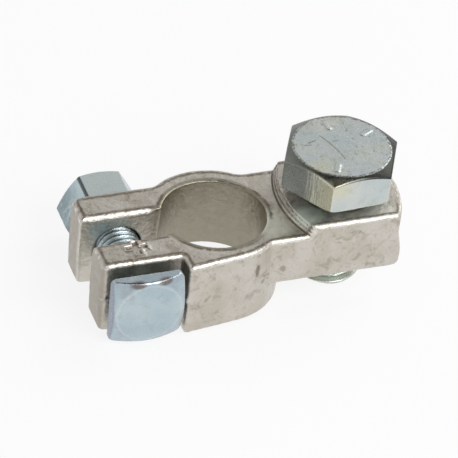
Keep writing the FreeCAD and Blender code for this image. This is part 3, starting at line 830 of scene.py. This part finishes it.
def hexagon_sides(g, radial):
    """The hexagon head's left side, painted half in shade and half in light, with streaks of painted
    reflection.
    """
    along, across, level = g.parts()
    height = g.band(level, CABLE_SEAT + 0.4, HEAD_FACE_Z - 0.5, 0.3)
    left = g.times(height, g.span(radial, 9.2, 9.6), g.span(along, 18.1, 17.8), g.span(across, 1.0, 0.0))
    drawn = g.noise(1.0, 2, 0.6, vector=g.scaled(g.place, (4.5, 4.5, 0.2)))
    streaked = g.times(left, g.band(along, 14.9, 16.5, 0.7))
    # Painted shade and light on the left side, with painted bright and dark streaks of reflection
    g.paint(SIDE_SHADE, left, g.span(along, 16.0, 14.2), 0.75)
    g.paint(SIDE_LIGHT, left, g.span(along, 15.0, 16.8), 0.8)
    g.paint(STREAK_HIGHLIGHT, streaked, g.span(drawn, 0.48, 0.58), 0.9)
    g.paint(STREAK_DARK_REFLECTION, streaked, g.span(drawn, 0.47, 0.38), 0.25)


def passivated_material():
    """Slightly yellow zinc of the cable bolt: scratched on top, with a dotted dark rim, a dark painted
    reflection on the cone round its face, and painted shade, light and streaks of reflection on its left
    side.
    """
    g = Graph("passivated")
    zinc_base(g, *CABLE_ZINC)
    ragged = g.noise(1.4, 4, 0.7)
    hexagon_sides(g, hexagon_top(g, ragged))
    for centre in YELLOW_SPOTS:
        g.paint(PALE_YELLOW, g.spot(centre, (1, 1, 1), 4.2, 1.4, g.times(ragged, 2.0)), 0.5)
    g.paint(TIP_GREEN, g.span(g.parts()[2], 5.5, 4.5), 0.55)
    return zinc_finish(g)


def seen_ray(g):
    """1 for camera, glossy and transmission rays, 0 for those that carry light."""
    rays = g.add("LightPath").outputs
    seen = g.larger(rays["Is Camera Ray"], rays["Is Glossy Ray"])
    return g.larger(seen, rays["Is Transmission Ray"])


def floor_material():
    """Pale and matt, but near white for the eye and in reflections."""
    g = Graph("floor")
    diffuse, glow, blend = g.add("BsdfDiffuse"), g.add("Emission"), g.add("MixShader")
    g.feed(diffuse.inputs["Color"], FLOOR_COLOR)
    g.feed(glow.inputs["Color"], (1, 1, 1))
    shares = (g.times(seen_ray(g), FLOOR_GLOW), diffuse.outputs[0], glow.outputs[0])
    for socket, value in zip(blend.inputs, shares):
        g.feed(socket, value)
    return g.finish(blend.outputs[0])


def stage_floor():
    """A pale plane that touches the ears' undersides and the cable bolt's end."""
    near_x, far_x = -19.0, CABLE_X - CABLE_TIP_RADIUS
    drop = 0.03
    tilt = math.atan2(CABLE_LENGTH - CABLE_SEAT, far_x - near_x)
    bpy.ops.mesh.primitive_plane_add(size=FLOOR_SIZE)
    floor = bpy.context.object
    floor.name = "floor"
    turn = Matrix.Rotation(tilt, 4, "Y")
    floor.matrix_world = Matrix.Translation(Vector((near_x, 0, -drop)) * MM) @ turn
    floor.data.materials.append(floor_material())


def light_world():
    """A bright studio whose ceiling is dark."""
    world = bpy.data.worlds.new("studio")
    bpy.context.scene.world = world
    world.use_nodes = True
    tree = world.node_tree
    background = tree.nodes["Background"]
    background.inputs["Color"].default_value = (1, 1, 1, 1)
    coordinates = tree.nodes.new("ShaderNodeTexCoord")
    parts = tree.nodes.new("ShaderNodeSeparateXYZ")
    fade = tree.nodes.new("ShaderNodeMapRange")
    fade.interpolation_type = "SMOOTHSTEP"
    for socket, value in zip(fade.inputs[1:5], (*CEILING_EDGE, WALL_LIGHT, CEILING_LIGHT)):
        socket.default_value = value
    tree.links.new(coordinates.outputs["Generated"], parts.inputs[0])
    tree.links.new(parts.outputs["Z"], fade.inputs[0])
    tree.links.new(fade.outputs[0], background.inputs["Strength"])


def add_lamp(name, place, size, power):
    """A round lamp that points at the object; its place and size are in metres."""
    data = bpy.data.lights.new(name, "AREA")
    data.shape = "DISK"
    data.size = size
    data.energy = power
    lamp = bpy.data.objects.new(name, data)
    bpy.context.scene.collection.objects.link(lamp)
    lamp.location = Vector(place)
    lamp.rotation_mode = "QUATERNION"
    lamp.rotation_quaternion = (LAMP_AIM - lamp.location).to_track_quat("-Z", "Y")


def add_camera():
    """The camera of the photograph, fitted to the object's outline.

    distance, aim_right, aim_up and lift are in metres; focal and width are in the picture's pixels.
    """
    azimuth, elevation, roll = (math.radians(angle) for angle in (-22.958, 38.455, 6.428))
    distance, focal, width = 0.51690, 2884.5, 458
    aim_right, aim_up, lift = -0.0038625, -0.0085013, 0.0004
    back = Vector((
        math.sin(azimuth) * math.cos(elevation),
        -math.cos(azimuth) * math.cos(elevation),
        math.sin(elevation),
    ))
    level = Vector((math.cos(azimuth), math.sin(azimuth), 0))
    rise = back.cross(level)
    right = level * math.cos(roll) + rise * math.sin(roll)
    up = rise * math.cos(roll) - level * math.sin(roll)
    data = bpy.data.cameras.new("camera")
    data.sensor_width = 36.0
    data.lens = data.sensor_width * focal / width
    data.clip_start, data.clip_end = 0.01, 20.0
    camera = bpy.data.objects.new("camera", data)
    bpy.context.scene.collection.objects.link(camera)
    turn = Matrix((right, up, back)).transposed().to_4x4()
    place = back * distance - right * aim_right - up * aim_up + Vector((0, 0, lift))
    camera.matrix_world = Matrix.Translation(place) @ turn
    bpy.context.scene.camera = camera


tinned, zinc, passivated = casting_material(), zinc_material(), passivated_material()
# Each box holds its piece with some room, and the number after it is the size of the net's cells
make_piece("casting", casting_field, ((-24.4, -14.6, -0.6), (35.2, 13.4, 17.4)), 0.25,
           "clamp_body", tinned,
           (clamp_bolt_field, clamp_nut_field, cable_bolt_field), casting_surface)
make_piece("square_bolt", clamp_bolt_field, ((-23.4, -15.4, 0.1), (-9.0, 18.4, 14.5)), 0.18,
           "clamp_bolt", zinc, (casting_field,))
make_piece("hexagon_nut", clamp_nut_field, ((-24.4, 9.4, 0.1), (-8.0, 17.9, 14.5)), 0.18,
           "clamp_nut", zinc, (casting_field,))
make_piece("hexagon_bolt", cable_bolt_field, ((11.4, -11.3, -1.9), (34.3, 11.3, 26.6)), 0.2,
           "cable_bolt", passivated, (casting_field,))

stage_floor()
light_world()
add_lamp("key", (0.22, -0.46, 0.46), 0.50, 2.4)
add_lamp("fill", (0.45, 0.20, 0.40), 0.40, 1.0)
add_camera()
bpy.context.scene.view_settings.view_transform = "Standard"
